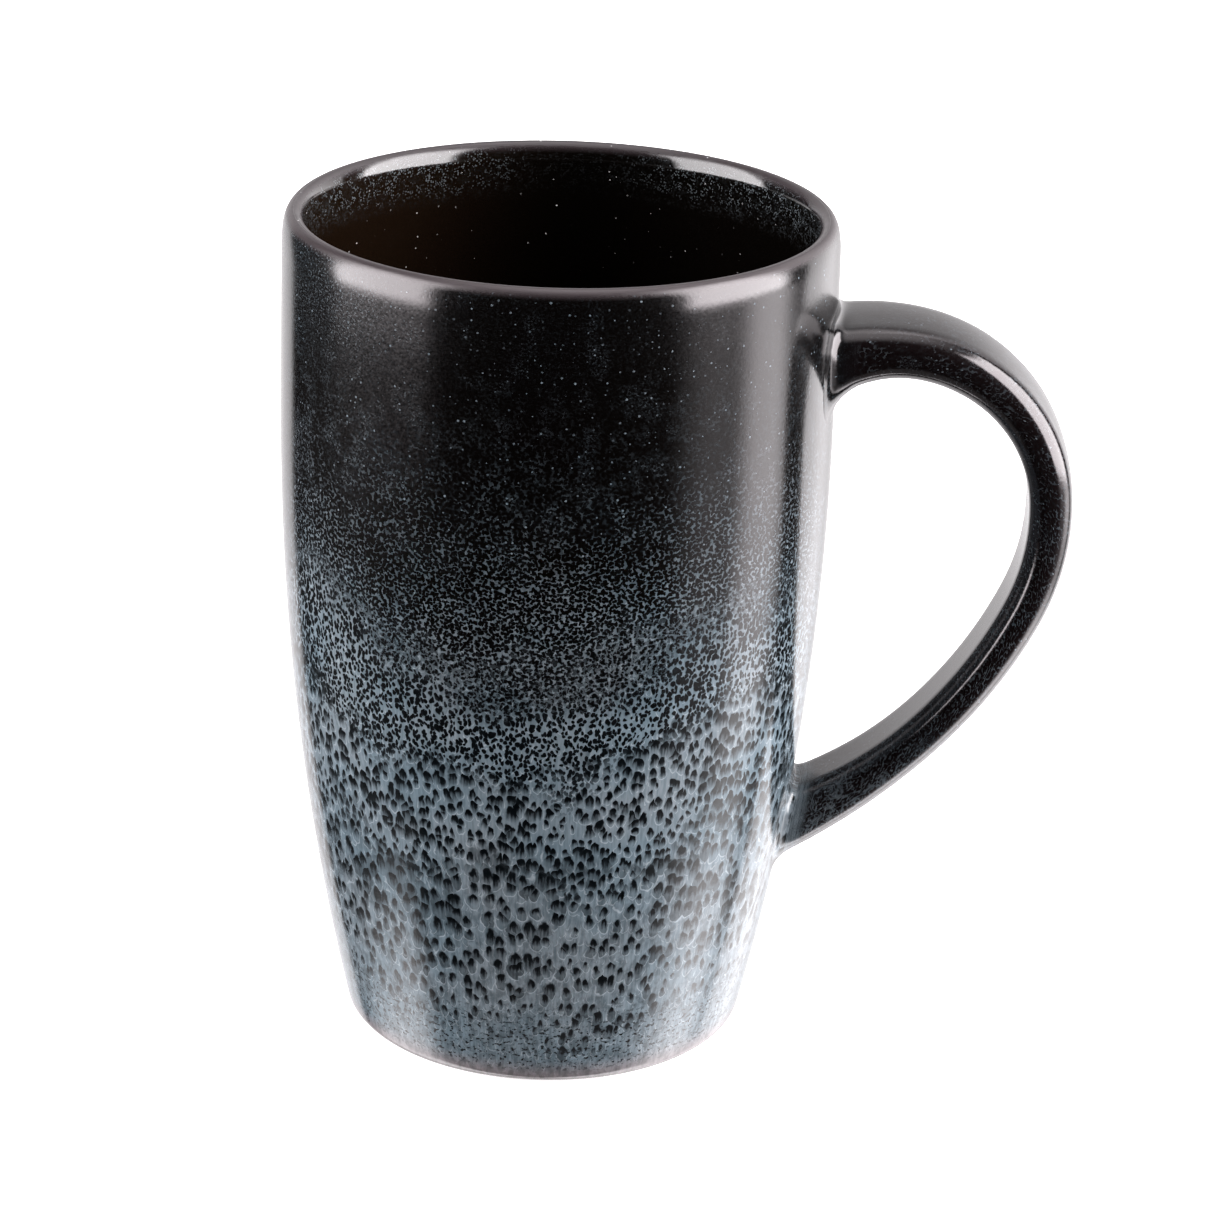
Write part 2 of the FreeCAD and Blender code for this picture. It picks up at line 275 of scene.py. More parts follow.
def centreline_at(run):
    """(point, outward direction) of the centreline at a run."""
    for start, end, radius, centre in ARCS:
        span = math.radians(start - end) * radius
        if run <= span or end == LAST_HEADING:
            out = outward(start - math.degrees(run / radius))
            return centre + out * radius, out
        run -= span


def strap_size(run, column):
    """The strap's thickness (column 1) or width (2), a smooth curve through the stations."""
    xs, ys = STATION_RUNS, [station[column] for station in STRAP]
    i = max(k for k in range(len(xs) - 1) if xs[k] <= max(run, 0.0))
    slopes = []
    for k in (i, i + 1):
        a, b = max(k - 1, 0), min(k + 1, len(xs) - 1)
        slopes.append((ys[b] - ys[a]) / (xs[b] - xs[a]))
    h = xs[i + 1] - xs[i]
    t = (run - xs[i]) / h
    return (
        (2 * t**3 - 3 * t**2 + 1) * ys[i] + (t**3 - 2 * t**2 + t) * h * slopes[0]
        + (3 * t**2 - 2 * t**3) * ys[i + 1] + (t**3 - t**2) * h * slopes[1]
    )


def crowned(out, across, thick, wide):
    """A point of the strap's section after its outer face and sides have swelled a little."""
    swell = CROWN * max(0.0, out / (thick / 2)) * (1 - (2 * across / wide) ** 2)
    side = min(1.0, abs(across) / (wide / 2)) ** SIDE_SHARPNESS
    bulge = SIDE_CROWN * thick / USUAL_THICK * side * (1 - (2 * out / thick) ** 2)
    return out + swell, across + math.copysign(bulge, across)


def section(thick, wide):
    """The strap's section, a rounded rectangle, as (out, across, turn) points. turn is the way
    the skin faces, in degrees from the outer face towards -Y."""
    corners = ((1, -1), (-1, -1), (-1, 1), (1, 1))

    def on_corner(corner, turn):
        out_sign, across_sign = corners[corner % 4]
        a = math.radians(turn)
        out = out_sign * (thick / 2 - EDGE) + EDGE * math.cos(a)
        return out, across_sign * (wide / 2 - EDGE) - EDGE * math.sin(a)

    points = []
    for corner in range(4):
        turn = 90 * corner
        for i in range(EDGE_STEPS + 1):
            a = turn + 90 * i / EDGE_STEPS
            points.append((*on_corner(corner, a), a))
        turn += 90
        out, across = on_corner(corner, turn)
        next_out, next_across = on_corner(corner + 1, turn)
        steps = FACE_STEPS if corner % 2 else SIDE_STEPS
        for i in range(1, steps):
            t = i / steps
            points.append((out + (next_out - out) * t, across + (next_across - across) * t, turn))
    return [(*crowned(out, across, thick, wide), turn) for out, across, turn in points]


def strap_point(run, k):
    """Line k of the strap at a run: the point, and the way the skin faces there."""
    centre, out = centreline_at(run)
    o, across, turn = section(strap_size(run, 1), strap_size(run, 2))[k]
    t = math.radians(turn)
    facing = out * math.cos(t) - Vector((0, math.sin(t), 0))
    return centre + out * o + Vector((0, across, 0)), facing


def gap(p):
    """How far a point stands off the glazed wall."""
    return math.hypot(p.x, p.y) - wall_radius(p.z)


def find_run(k, inside, outside, clear):
    """The run between two others at which the strap's line k stands clear of the wall."""
    for _ in range(HALVINGS):
        middle = (inside + outside) / 2
        if gap(strap_point(middle, k)[0]) > clear:
            outside = middle
        else:
            inside = middle
    return outside


def sunk(p, depth):
    """The point of the wall nearest p at its height, pushed in by depth."""
    share = (wall_radius(p.z) - depth) / math.hypot(p.x, p.y)
    return Vector((p.x * share, p.y * share, p.z))


def fillet(run_foot, run_start, k, reach):
    """Points from the strap down onto the wall, ending just under its surface."""
    start = strap_point(run_start, k)[0]
    foot, facing = strap_point(run_foot, k)
    slope = (wall_radius(foot.z + 1) - wall_radius(foot.z - 1)) / 2
    flat = math.hypot(foot.x, foot.y)
    normal = Vector((foot.x / flat, foot.y / flat, -slope)).normalized()
    along = (facing - normal * facing.dot(normal)).normalized()
    end = foot + along * reach
    points = []
    for i in range(1, FILLET_STEPS):
        t = i / FILLET_STEPS
        points.append(start * (1 - t) ** 2 + foot * (2 * t * (1 - t)) + end * t**2)
    return points + [sunk(end, TUCK_DEPTHS[0]), sunk(end + along * TUCK, TUCK_DEPTHS[1])]


def strap_line(k, turn):
    """Line k of the handle's skin, from the wall at the top to the wall at the bottom."""
    flare = TOP_FLARE + INNER_FLARE * max(0.0, -math.cos(math.radians(turn)))
    top_foot = find_run(k, 0.0, RUN * UPPER_PART, 0.0)
    top = find_run(k, 0.0, RUN * UPPER_PART, flare)
    low_foot = find_run(k, RUN, RUN * LOWER_PART, 0.0)
    low = find_run(k, RUN, RUN * LOWER_PART, LOW_FLARE)
    line = fillet(top_foot, top, k, flare)[::-1]
    for i in range(STEPS_ALONG + 1):
        line.append(strap_point(top + (low - top) * i / STEPS_ALONG, k)[0])
    return line + fillet(low_foot, low, k, LOW_FLARE)


def handle_skin():
    """The glaze over the handle. Its points hold what the pattern needs: how far round and how
    far along the strap they are, and hold, 0 at the wall and 1 on the strap itself."""
    turns = [turn for _, _, turn in section(USUAL_THICK, 2 * USUAL_THICK)]
    lines = [strap_line(k, turn) for k, turn in enumerate(turns)]
    rows = list(zip(*lines))
    girths, runs, holds = [], [], []
    for i, row in enumerate(rows):
        girth = GIRTH_START
        for k, p in enumerate(row):
            if k:
                girth += (p - row[k - 1]).length
            girths.append(girth)
            runs.append(RUN * (1 - i / len(rows)))
            holds.append(min(1.0, max(0.0, (gap(p) - HOLD_FROM) / (HOLD_TO - HOLD_FROM))))
    stored = {"girth": girths, "run": runs, "hold": holds}
    return grid_mesh("handle_glaze", rows, False, len(rows) - 1, stored)


# ---------------------------------------------------------------- material helpers
class Shader:
    """Builds a node tree from short calls; a value may be a socket, a number or a colour."""

    def __init__(self, tree):
        self.tree = tree
        self.tree.nodes.clear()

    def node(self, kind, **settings):
        made = self.tree.nodes.new(kind)
        for key, value in settings.items():
            setattr(made, key, value)
        return made

    def put(self, value, socket):
        if isinstance(value, bpy.types.NodeSocket):
            self.tree.links.new(value, socket)
        elif isinstance(value, (tuple, list)) and socket.type == "RGBA":
            socket.default_value = (*value[:3], 1)
        else:
            socket.default_value = value

    def feed(self, node, values):
        """Sets a node's first inputs, in order."""
        for socket, value in zip(node.inputs, values):
            self.put(value, socket)
        return node.outputs

    def math(self, operation, *values):
        return self.feed(self.node("ShaderNodeMath", operation=operation), values)[0]

    def chain(self, operation, values):
        total = values[0]
        for value in values[1:]:
            total = self.math(operation, total, value)
        return total

    def add(self, *values):
        return self.chain("ADD", values)

    def mul(self, *values):
        return self.chain("MULTIPLY", values)

    def most(self, *values):
        return self.chain("MAXIMUM", values)

    def sub(self, a, b):
        return self.math("SUBTRACT", a, b)

    def div(self, a, b):
        return self.math("DIVIDE", a, b)

    def power(self, a, b):
        return self.math("POWER", a, b)

    def rest(self, share):
        """1 less a share."""
        return self.sub(1.0, share)

    def between(self, a, b, share):
        """The number a turning into b as share goes from 0 to 1."""
        return self.add(self.mul(a, self.rest(share)), self.mul(b, share))

    def line(self, value, low, high, to_low=0.0, to_high=1.0, interpolation="LINEAR"):
        """Carries low..high to to_low..to_high in a straight line, held level beyond both ends.
        low may be the larger, so that the result falls as the value rises."""
        n = self.node("ShaderNodeMapRange", interpolation_type=interpolation)
        return self.feed(n, (value, low, high, to_low, to_high))[0]

    def ramp(self, value, low, high, to_low=0.0, to_high=1.0):
        """Like line, with soft ends."""
        return self.line(value, low, high, to_low, to_high, "SMOOTHSTEP")

    def mix(self, factor, a, b):
        """Colour a turning into b as factor goes from 0 to 1."""
        n = self.node("ShaderNodeMix", data_type="RGBA")
        self.put(factor, n.inputs[0])
        self.put(a, n.inputs[6])
        self.put(b, n.inputs[7])
        return n.outputs[2]

    def vector(self, x, y, z=0.0):
        return self.feed(self.node("ShaderNodeCombineXYZ"), (x, y, z))[0]

    def split(self, vector):
        return self.feed(self.node("ShaderNodeSeparateXYZ"), (vector,))

    def scale(self, vector, factor):
        n = self.node("ShaderNodeVectorMath", operation="MULTIPLY")
        return self.feed(n, (vector, (factor, factor, factor)))[0]

    def noise_node(self, vector, scale, detail, rough):
        n = self.node("ShaderNodeTexNoise")
        self.put(vector, n.inputs["Vector"])
        n.inputs["Scale"].default_value = scale
        n.inputs["Detail"].default_value = detail
        n.inputs["Roughness"].default_value = rough
        return n.outputs

    def noise(self, vector, scale, detail=2.0, rough=0.5):
        return self.noise_node(vector, scale, detail, rough)["Fac"]

    def noises(self, vector, scale, detail=2.0):
        """Three numbers from one noise, each around 0.5."""
        return self.split(self.noise_node(vector, scale, detail, 0.5)["Color"])

    def cells(self, vector, scale, dims="3D", randomness=1.0):
        n = self.node("ShaderNodeTexVoronoi", voronoi_dimensions=dims)
        self.put(vector, n.inputs["Vector"])
        n.inputs["Scale"].default_value = scale
        n.inputs["Randomness"].default_value = randomness
        return n.outputs

    def read(self, name):
        """A value stored on the mesh, or 0 where the mesh has none."""
        return self.node("ShaderNodeAttribute", attribute_name=name).outputs["Fac"]

    def place(self):
        """Position on the object in mm."""
        return self.scale(self.node("ShaderNodeTexCoord").outputs["Object"], 1 / MM)


def new_material(name):
    material = bpy.data.materials.new(name)
    material.use_nodes = True
    return material, Shader(material.node_tree)


def principled(s, colour, rough, height, depth):
    """The surface itself. height drives the bump, and depth is its depth in metres."""
    shader = s.node("ShaderNodeBsdfPrincipled")
    s.put(colour, shader.inputs["Base Color"])
    s.put(rough, shader.inputs["Roughness"])
    shader.inputs["IOR"].default_value = 1.5
    bump = s.node("ShaderNodeBump")
    bump.inputs["Strength"].default_value = 1.0
    bump.inputs["Distance"].default_value = depth
    s.put(height, bump.inputs["Height"])
    s.put(bump.outputs[0], shader.inputs["Normal"])
    s.put(shader.outputs[0], s.node("ShaderNodeOutputMaterial").inputs["Surface"])
    return shader


# ---------------------------------------------------------------- glazes
# Heights are mm above the table. front is the angle round the mug in radians, 0 on the side that
# the camera sees and growing towards the handle.
MEAN_RADIUS = 36.0
PALE_BLUE, PALE_GREY = (0.106, 0.141, 0.166), (0.144, 0.168, 0.187)
STREAK = (0.046, 0.070, 0.084)
FRINGE = (0.28, 0.32, 0.35)
FOOT_MAUVE = (0.150, 0.125, 0.128)
BLACK_HIGH, BLACK_LOW = (0.0010, 0.0007, 0.0006), (0.0006, 0.0011, 0.0015)
BLACK_HANDLE = (0.0042, 0.0026, 0.0027)
LIP_MAUVE = (0.022, 0.017, 0.0185)
# The inside's brown-black, and the lighter brown that is painted light on its left side.
BLACK_INSIDE, BROWN_PAINTED_LIGHT_INSIDE = (0.0012, 0.0009, 0.0007), (0.0052, 0.0028, 0.0015)
# The first grey is for painted glints, fine dots under the lip; the second is for the pale pins.
GLINT_GREY, PIN_GREY = (0.10, 0.115, 0.125), (0.5, 0.5, 0.5)
WHITE, ROSE = (1.0, 1.0, 1.0), (1.0, 0.95, 0.965)

# Where each kind of mark fades in, by level or by height: none at the first, all at the second.
# A mark with a top and a foot fills the band between them.
FINE_FOOT = (49, 55)
MIDDLE_TOP, MIDDLE_FOOT = (59, 54), (31, 37)
LARGE_TOP, LARGE_FOOT = (41, 35), (4, 10)
SPECK_TOP, SPECK_FOOT = (18, 9), (2.2, 4.5)
GROUND_TOP = (76, 61)
DROPS_OVER_WEB = (76, 64)
WEB_FOOT = (58, 68)
DUST_FOOT = (56, 75)
HAZE_FOOT = (66, 92)
# The band under the lip that holds the painted glow on the left.
GLOW_UNDER_LIP = (104, 121)
# The band of heights below is where the painted glints under the lip fade in.
GLINT_FOOT = (116.5, 122.5)
OUTER_CROWN, INNER_CROWN = (124.1, 125.2), (124.0, 125.3)

SWAY = 22.0  # how far the bands wander up and down
RIGHT_CLIMB, LEFT_CLIMB = 7.0, 6.0  # how far they climb at the sides of the mug
HANDLE_TOP_SHIFT, HANDLE_FOOT_SHIFT = -8.0, 58.0  # of the level, at the two ends of the handle
OUTER_GLOSS, LINER_GLOSS = (0.11, 0.16), (0.07, 0.12)  # the range of roughness
OUTER_RIPPLE, LINER_RIPPLE = 0.000008, 0.00002  # depth, metres
MIDDLING = (0.3, 0.7)  # the range that nearly all of a noise falls in


class Spot:
    """Where a shaded point is, as the pattern of the outer glaze sees it."""

    def __init__(self, s):
        self.pos = s.place()
        x, y, self.z = s.split(self.pos)
        self.front = s.math("ARCTAN2", x, s.mul(y, -1.0))
        self.hold = s.read("hold")
        self.girth = s.read("girth")
        self.run = s.read("run")
        # The join of the pattern, at the back, wanders so that it makes no straight line.
        wander = s.mul(s.sub(s.noise(self.pos, 0.35), 0.5), 0.5)
        turned = s.math("WRAP", s.sub(self.front, wander), math.pi, -math.pi)
        around = s.mul(s.add(turned, wander), MEAN_RADIUS)
        self.flow_x = s.between(around, self.girth, self.hold)
        self.flow_z = s.between(self.z, self.run, self.hold)
        self.broad = s.noises(self.pos, 1 / 16, 3)
        self.level = self.find_level(s)
        stretched = s.vector(s.mul(self.flow_x, 2.6), s.mul(self.flow_z, 0.30))
        self.streak = s.sub(s.noise(stretched, 1.0), 0.5)
        self.calm = self.warped(s, 1.7, 1.3)
        self.wild = self.warped(s, 0.5, 0.75)

    def find_level(self, s):
        """The height that the pattern goes by. It sways, it is low at the sides, where the pale
        part climbs, and it is high on the handle, which stays dark nearly to its lower end."""
        sway = s.mul(s.sub(self.broad[0], 0.5), SWAY)
        right = s.ramp(self.front, 0.25, 0.75, 0.0, -RIGHT_CLIMB)
        left = s.ramp(self.front, -0.4, -0.9, 0.0, -LEFT_CLIMB)
        on_handle = s.line(self.z, 110, 30, HANDLE_TOP_SHIFT, HANDLE_FOOT_SHIFT)
        return s.add(self.z, sway, s.add(right, left), s.mul(self.hold, on_handle))

    def warped(self, s, size, amount):
        """The flow coordinates pushed about by noise of one size."""
        n = s.noises(self.pos, 1 / size)
        return [s.add(base, s.mul(s.sub(part, 0.5), amount))
                for base, part in ((self.flow_x, n[0]), (self.flow_z, n[1]))]


def drops(s, at, wide, tall, top, size, shade, veil=0.0, soft=0.0):
    """A field of dark drops in cells wide by tall, dark above and paler below. top is half a
    drop's width near its top, size scales it in its cell, shade is the height over which it
    darkens, and soft blurs its lower edge. With veil, it has a faint body of that strength and a
    pale fringe below. Returns how dark and how fringed a point is, 0 to 1."""
    smallest, largest, palest = 0.7, 1.25, 0.985  # shares of the full size and darkness
    half_width, half_height = 0.50, 0.56
    calm_x, calm_z = at.calm
    q = s.vector(s.div(calm_x, wide), s.div(calm_z, tall))
    cell = s.cells(q, 1.0, "2D", 0.9)
    here, centre, lot = s.split(q), s.split(cell["Position"]), s.split(cell["Color"])
    grown = s.mul(size, s.line(lot[0], 0, 1, smallest, largest))
    u = s.div(s.sub(here[0], centre[0]), grown)
    v = s.div(s.sub(here[1], centre[1]), grown)
    across = s.div(u, s.line(v, -0.5, 0.5, half_width, top))
    far = s.add(s.power(across, 2.0), s.power(s.div(v, half_height), 2.0))
    inside = s.ramp(far, 1.2, s.line(v, -0.3, 0.3, 0.45 - soft, 0.8 - soft / 2))
    shading = s.ramp(s.add(v, s.mul(at.streak, 0.9)), *shade, 0.15, 1.0)
    dark = s.mul(inside, shading, s.line(lot[1], 0, 1, palest, 1.0))
    if not veil:
        return dark, 0.0
    low = s.add(s.power(s.div(u, 0.52), 2.0), s.power(s.div(s.add(v, 0.08), 0.58), 2.0))
    body = s.mul(s.ramp(low, 1.08, 0.95), s.line(lot[2], 0, 1, 0.1, 1.0), veil)
    fringe = s.mul(s.ramp(low, 1.45, 1.15), s.ramp(low, 0.85, 1.05), s.ramp(v, 0.15, -0.25))
    return s.most(dark, body), fringe


def all_drops(s, at):
    """How dark and how fringed a point is: fine drops half way up, larger ones further down, and
    specks near the foot."""
    level = at.level
    cramped, roomy = 0.62, 1.16
    room = s.ramp(s.noise(at.pos, 1 / 6.0), 0.32, 0.62, cramped, roomy)
    fine_room = s.line(room, cramped, roomy, 0.85, 1.05)
    fine_size = s.mul(fine_room, s.line(level, 50, 70, 0.90, 1.10))
    fine, _ = drops(s, at, wide=0.68, tall=0.78, top=0.42, size=fine_size, shade=(-1.5, -0.4))
    fine = s.mul(fine, s.ramp(level, *FINE_FOOT))

    middle_size = s.mul(room, s.line(level, 58, 48, 0.86, 1.18))
    middle, middle_fringe = drops(s, at, wide=1.3, tall=1.95, top=0.35, size=middle_size,
                                  shade=(-0.6, 0.15), veil=0.15, soft=0.15)
    middle = s.mul(middle, s.ramp(level, *MIDDLE_TOP), s.ramp(level, *MIDDLE_FOOT))

    large_size = s.mul(room, s.line(level, 8, 22, 0.6, 1.05))
    large, large_fringe = drops(s, at, wide=1.95, tall=2.8, top=0.36, size=large_size,
                                shade=(-0.55, 0.2), veil=0.60, soft=0.45)
    below_middle = s.ramp(level, *LARGE_TOP)
    large = s.mul(large, below_middle, s.ramp(level, *LARGE_FOOT))

    speck = s.noise(s.vector(at.flow_x, s.mul(at.z, 1.6)), 1.2, 2, 0.6)
    speck = s.mul(s.ramp(speck, 0.55, 0.62), s.ramp(at.z, *SPECK_TOP), s.ramp(at.z, *SPECK_FOOT))
    fringe = s.most(middle_fringe, s.mul(large_fringe, below_middle))
    return s.most(fine, middle, large, speck), fringe


def web(s, at, darkness):
    """Pale threads that close up from scattered bits high on the wall into a net half way down."""
    level, mesh_size = at.level, 0.47
    reach = s.cells(s.vector(*at.wild), 1 / mesh_size, "2D")["Distance"]
    thread = s.ramp(reach, s.ramp(level, 100, 50, 0.46, 0.40), s.ramp(level, 100, 50, 0.72, 0.64))
    patch = s.ramp(s.noise(at.pos, 0.40, 3, 0.6), 0.35, 0.65, 0.15, 1.0)
    fade = s.power(s.line(level, 112, 56, 0.14, 1.24), 2.2)
    covered = s.mul(darkness, s.ramp(level, *DROPS_OVER_WEB))
    return s.mul(thread, fade, s.ramp(level, 60, 100, 1.0, patch), s.ramp(level, *WEB_FOOT),
                 s.rest(covered))


def ground(s, at, darkness):
    """The pale glaze between the drops, misty where the drops are large."""
    calm_x, calm_z = at.calm
    mist = s.noise(s.vector(calm_x, s.mul(calm_z, 0.6)), 0.75, 3, 0.6)
    mist = s.line(at.level, 40, 26, 1.0, s.ramp(mist, 0.35, 0.62, 0.55, 1.0))
    return s.mul(s.rest(darkness), mist, s.ramp(at.level, *GROUND_TOP))


def dust(s, at):
    """Single pale dots, mostly faint, over the dark part."""
    spacing, largest, rarity = 0.8, 0.20, 5.0
    dots = s.cells(s.vector(at.flow_x, at.flow_z), 1 / spacing, "2D")
    lot = s.split(dots["Color"])
    beyond = s.sub(dots["Distance"], s.line(lot[0], 0.3, 1.0, 0.0, largest))
    return s.mul(s.ramp(beyond, 0.05, -0.05), s.power(lot[1], rarity),
                 s.ramp(at.level, *DUST_FOOT))


def haze_and_glow(s, at):
    """Clouds of very fine dust near the top. Their thickening to the left and under the lip is
    painted light, the mottled glow where the left light falls.
    """
    bits = s.ramp(s.noise(s.vector(at.flow_x, at.flow_z), 2.9, 3, 0.7), 0.48, 0.74)
    cloud = s.ramp(s.noise(at.pos, 1 / 5.0, 4, 0.6), 0.46, 0.66, 0.02, 1.0)
    # Painted light: pale haze heaped under the lip on the left, and more of it to the left
    # overall, stands in for the glow of the light there.
    glow_under_lip = s.mul(s.ramp(at.z, *GLOW_UNDER_LIP), s.ramp(at.front, -0.3, -0.85, 0.2, 1.0))
    amount = s.ramp(at.level, *HAZE_FOOT, 0.0, s.ramp(at.front, -0.3, -0.8, 0.20, 0.50))
    return s.mul(bits, s.most(cloud, glow_under_lip), amount)


def swirl(s, at):
    """Curled pale lines where the handle's lower end comes back to the wall."""
    twist = s.noise(s.scale(at.pos, 0.26), 1.0)
    bend = s.vector(s.mul(twist, 9.0), s.mul(at.girth, 0.22), s.mul(at.run, 0.10))
    off_line = s.math("ABSOLUTE", s.sub(s.noise(bend, 1.0), 0.5))
    line_width, strongest = 0.05, 0.5
    return s.mul(s.ramp(off_line, line_width, 0.0), at.hold, s.ramp(at.z, 54, 36, 0.0, strongest))


def outer_glaze():
    """Near-black at the top, breaking into pale blue-grey, with dark drops towards the foot."""
    material, s = new_material("outer_glaze_mat")
    at = Spot(s)
    darkness, fringe = all_drops(s, at)
    hazy_glow = haze_and_glow(s, at)
    paleness = s.most(web(s, at, darkness), ground(s, at, darkness), dust(s, at), hazy_glow,
                      swirl(s, at))

    pale = s.mix(s.ramp(at.broad[2], 0.35, 0.65), PALE_BLUE, PALE_GREY)
    pale = s.mix(s.ramp(at.streak, -0.2, 0.2, 0.0, 0.55), pale, STREAK)
    pale = s.mix(s.mul(fringe, 0.55), pale, FRINGE)
    pale = s.mix(s.ramp(at.z, 5.5, 1.8, 0.0, 0.85), pale, FOOT_MAUVE)
    black = s.mix(s.ramp(at.level, 84, 50), BLACK_HIGH, BLACK_LOW)
    black = s.mix(at.hold, black, BLACK_HANDLE)
    colour = s.mix(paleness, black, pale)
    colour = s.mix(s.ramp(at.z, *OUTER_CROWN), colour, LIP_MAUVE)

    fleck = s.noise(at.pos, 2.2)
    rough = s.add(s.ramp(fleck, *MIDDLING, *OUTER_GLOSS), s.ramp(at.z, 112, 119, 0.0, 0.025),
                  s.mul(hazy_glow, 0.25), s.ramp(at.z, *OUTER_CROWN, 0.0, 0.18))
    shader = principled(s, colour, rough, fleck, OUTER_RIPPLE)
    tint = s.mix(s.most(at.hold, s.ramp(at.z, 50, 85)), WHITE, ROSE)
    s.put(tint, shader.inputs["Specular Tint"])
    return material


def liner_glaze():
    """Dark brown-black with sparse pale pins. Painted light makes it lighter and browner towards
    the left, and fine pale dots just under the lip are painted glints near the two inner
    highlights.
    """
    material, s = new_material("liner_glaze_mat")
    pos = s.place()
    x, _, z = s.split(pos)
    pin_spacing, glint_spacing = 1.35, 0.34
    pins = s.cells(pos, 1 / pin_spacing)
    lot = s.split(pins["Color"])
    beyond = s.sub(pins["Distance"], s.line(lot[0], 0.3, 1.0, 0.02, 0.115))
    pin = s.mul(s.ramp(beyond, 0.02, -0.01), s.power(lot[1], 2.0))
    # Painted glints: fine grey dots just under the lip, strongest at the sides where the two inner
    # highlights fall.
    glints = s.mul(
        s.ramp(s.cells(pos, 1 / glint_spacing)["Distance"], 0.46, 0.30),
        s.ramp(s.noise(pos, 0.9, 3), 0.40, 0.62, 0.1, 1.0),
        s.ramp(s.math("ABSOLUTE", x), 5, 20, 0.1, 1.0),
        s.ramp(z, *GLINT_FOOT, 0.0, 0.75),
    )
    # Painted light: the inside turns lighter and browner towards the left (-x), as if lit from
    # that side.
    colour = s.mix(s.ramp(x, 2, -32), BLACK_INSIDE, BROWN_PAINTED_LIGHT_INSIDE)
    colour = s.mix(glints, colour, GLINT_GREY)
    colour = s.mix(s.ramp(z, *INNER_CROWN), colour, LIP_MAUVE)
    colour = s.mix(pin, colour, PIN_GREY)
    ripple = s.noise(pos, 0.5)
    rough = s.add(s.ramp(ripple, *MIDDLING, *LINER_GLOSS), s.ramp(z, 124.3, 125.3, 0.0, 0.22))
    principled(s, colour, rough, ripple, LINER_RIPPLE)
    return material


def matt_clay(name, grain_scale, detail, grain_rough, dark, light, rough_range, depth):
    """Bare fired clay: one grain drives its colour, roughness and bump."""
    material, s = new_material(name)
    grain = s.noise(s.place(), grain_scale, detail, grain_rough)
    colour = s.mix(s.ramp(grain, *MIDDLING), dark, light)
    principled(s, colour, s.ramp(grain, *MIDDLING, *rough_range), grain, depth)
    return material


# ---------------------------------------------------------------- floor, light and camera
FLOOR_HALF = 6.0  # metres
FLOOR_GLOW = 0.8
FLOOR_GREYS = (0.80, 0.80, 0.80), (0.84, 0.84, 0.84)
TO_DEGREES = 180 / math.pi
EVERY_RISE = (-90, 90)
CAMERA_AT = Vector((28.9, -551.7, 282.45))
PAN, TILT, ROLL = (math.radians(a) for a in (-2.16, 21.5, 1.74))
SENSOR, FOCAL = 36, 118.62


def pale_floor():
    """A plain floor that only the camera sees; the world below stands for it in the glaze."""
    f = FLOOR_HALF
    mesh = bpy.data.meshes.new("floor")
    mesh.from_pydata([(-f, -f, 0), (f, -f, 0), (f, f, 0), (-f, f, 0)], [], [(0, 1, 2, 3)])
    floor = link("floor", mesh)
    material, s = new_material("floor_mat")
    glow = s.node("ShaderNodeEmission")
    glow.inputs["Strength"].default_value = FLOOR_GLOW
    matt = s.node("ShaderNodeBsdfDiffuse")
    grain = s.noise(s.place(), 0.02)
    s.put(s.mix(grain, *FLOOR_GREYS), matt.inputs["Color"])
    both = s.feed(s.node("ShaderNodeAddShader"), (glow.outputs[0], matt.outputs[0]))
    s.put(both[0], s.node("ShaderNodeOutputMaterial").inputs["Surface"])
    mesh.materials.append(material)
    floor.visible_glossy = False
    floor.visible_diffuse = False
    floor.visible_shadow = False


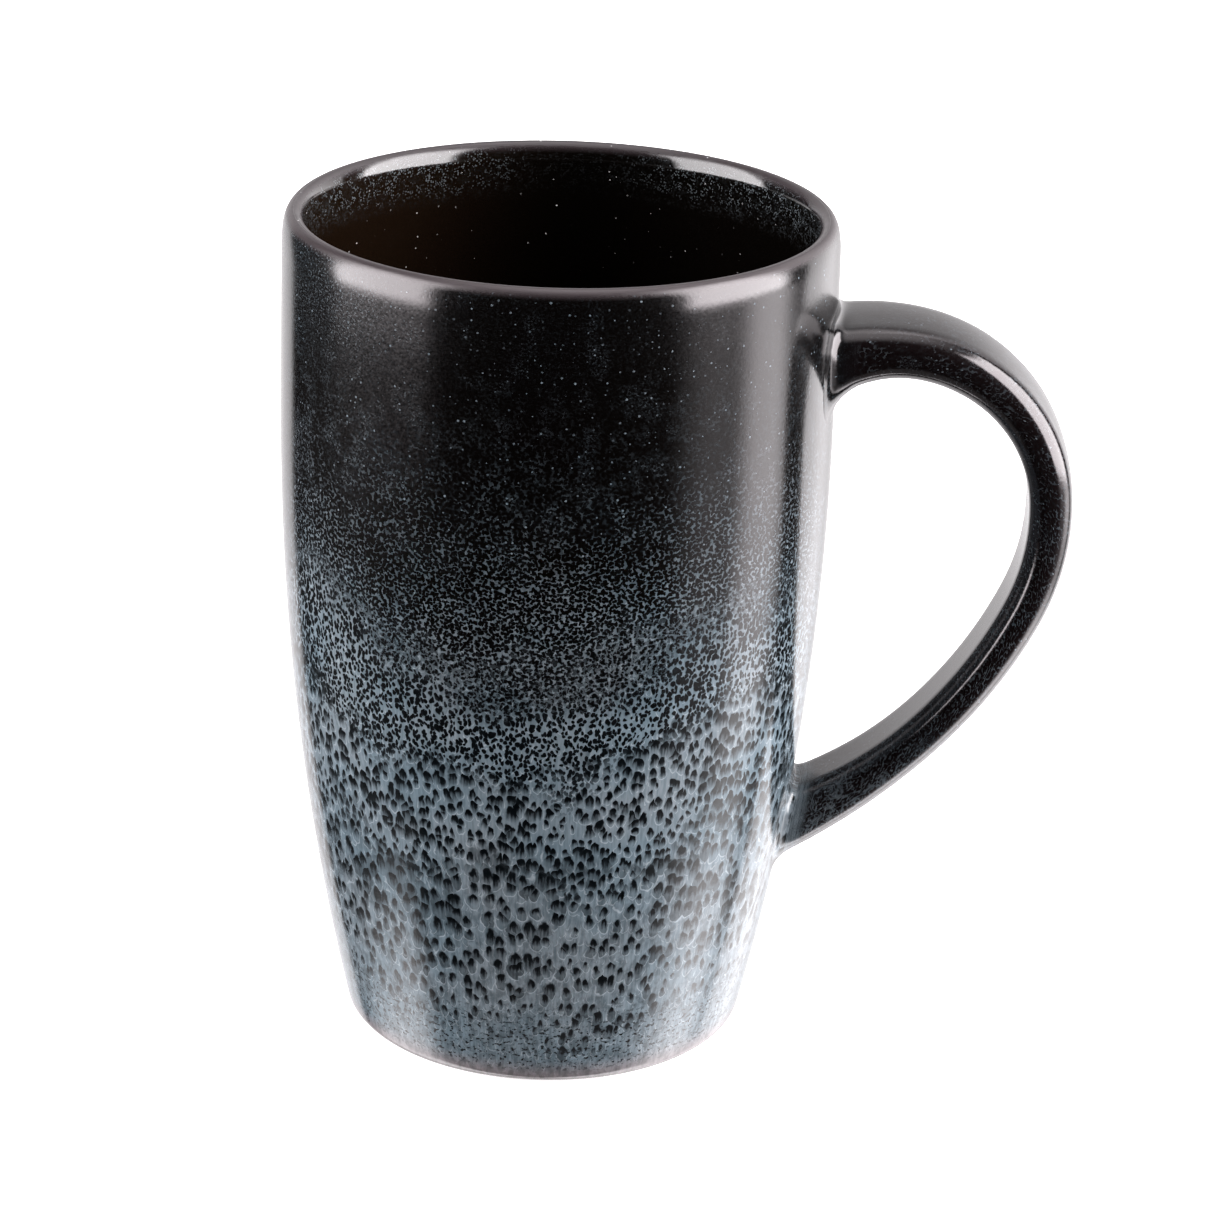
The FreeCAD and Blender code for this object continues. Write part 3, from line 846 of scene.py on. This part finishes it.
def studio():
    """The light, drawn on the world. The camera itself sees plain white.
    side is the angle round the mug in degrees, 0 behind the camera and growing towards the
    handle; rise is the angle above the horizon."""
    world = bpy.data.worlds.new("studio")
    bpy.context.scene.world = world
    world.use_nodes = True
    s = Shader(world.node_tree)
    dx, dy, dz = s.split(s.node("ShaderNodeTexCoord").outputs["Generated"])
    side = s.mul(s.math("ARCTAN2", dx, s.mul(dy, -1.0)), TO_DEGREES)
    rise = s.mul(s.math("ARCSINE", dz), TO_DEGREES)

    def window(value, span, soft):
        """1 inside a span, falling to 0 over soft beyond it."""
        low, high = span
        return s.mul(s.ramp(value, low - soft, low), s.ramp(value, high + soft, high))

    def panel(sides, rises, soft, power):
        return s.mul(window(side, sides, soft), window(rise, rises, soft), power)

    # Bright paper behind the mug, with a dark table in front that brightens close to the foot.
    paper_right = s.ramp(side, 119, 124, 0.0, 1.3)
    paper_glow = s.mul(s.ramp(side, 119, 124), s.ramp(side, 165, 140, 0.0, 1.9))
    paper_left = s.ramp(side, -137, -142, 0.0, 1.3)
    wall_left = panel((-118, -82), EVERY_RISE, 18, 0.06)
    table_edge = panel((93, 102), EVERY_RISE, 14, s.ramp(rise, -14, -34, 4.3, 2.2))
    table_wide = panel((70, 106), EVERY_RISE, 22, s.ramp(rise, -18, -30, 1.0, 0.4))
    table_right = s.mul(s.ramp(rise, -8, -14), s.add(table_edge, table_wide))
    near_right = s.mul(s.ramp(rise, -31, -43), panel((84, 110), EVERY_RISE, 21, 3.0))
    near_left = s.mul(s.ramp(rise, -35, -46), panel((-118, -84), EVERY_RISE, 20, 4.2))
    near_foot = s.ramp(rise, -45, -54, 0.0, 0.3)
    around = s.add(paper_right, paper_glow, paper_left, wall_left, table_right,
                   near_right, near_left, near_foot)

    box_right = panel((59, 102), (-6, 47), 7, 15.0)
    box_left = panel((-96, -54), (-10, 43), 6, 12.0)
    overhead = s.ramp(rise, 50, 80, 0.0, 2.4)
    light = s.add(s.mul(around, s.ramp(rise, -5, 25, 1.0, 0.55)), box_right, box_left, overhead)

    # The table shows in the gloss more than it lights the matt part of the glaze.
    rays = s.node("ShaderNodeLightPath").outputs
    light = s.mul(light, s.rest(s.mul(rays["Is Diffuse Ray"], s.ramp(rise, 5, -25, 0.0, 0.55))))
    warm = s.vector(light, s.mul(light, 0.97), s.mul(light, 0.985))
    back = s.node("ShaderNodeBackground")
    s.put(s.mix(rays["Is Camera Ray"], warm, WHITE), back.inputs["Color"])
    s.put(back.outputs[0], s.node("ShaderNodeOutputWorld").inputs["Surface"])


def aim_camera():
    """Above and in front of the mug, looking down at it and rolled a little."""
    ahead = Vector((math.sin(PAN), math.cos(PAN), 0))
    sight = ahead * math.cos(TILT) - Vector((0, 0, math.sin(TILT)))
    level_x = Vector((math.cos(PAN), -math.sin(PAN), 0))
    level_y = level_x.cross(sight)
    right = level_x * math.cos(ROLL) + level_y * math.sin(ROLL)
    up = level_y * math.cos(ROLL) - level_x * math.sin(ROLL)
    camera = link("camera", bpy.data.cameras.new("camera"))
    turn = Matrix((right, up, -sight)).transposed().to_4x4()
    camera.matrix_world = Matrix.Translation(CAMERA_AT * MM) @ turn
    camera.data.sensor_width = SENSOR
    camera.data.lens = FOCAL
    camera.data.clip_start = 0.01
    bpy.context.scene.camera = camera
    bpy.context.scene.view_settings.view_transform = "Standard"


# ---------------------------------------------------------------- the mug
outer = outer_glaze()
clay = matt_clay(
    "bare_clay_mat", grain_scale=2.2, detail=6, grain_rough=0.65,
    dark=(0.17, 0.115, 0.085), light=(0.30, 0.22, 0.17), rough_range=(0.75, 0.92), depth=0.00012,
)
slip = matt_clay(
    "slip_mat", grain_scale=3.0, detail=5, grain_rough=0.6,
    dark=(0.14, 0.10, 0.08), light=(0.24, 0.18, 0.14), rough_range=(0.7, 0.9), depth=0.00008,
)

for piece, material, node in (
    (lathe("body_glaze", outer_profile), outer, "outer_glaze"),
    (lathe("liner", liner_profile), liner_glaze(), "liner_glaze"),
    (handle_skin(), outer, "outer_glaze"),
):
    piece.data.materials.append(material)
    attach(piece, "root")
    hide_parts(node)

for node, material in (("cup_body", clay), ("handle", clay),
                       ("upper_slip_joint", slip), ("lower_slip_joint", slip)):
    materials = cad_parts[node].data.materials
    materials.clear()
    materials.append(material)

pale_floor()
studio()
aim_camera()
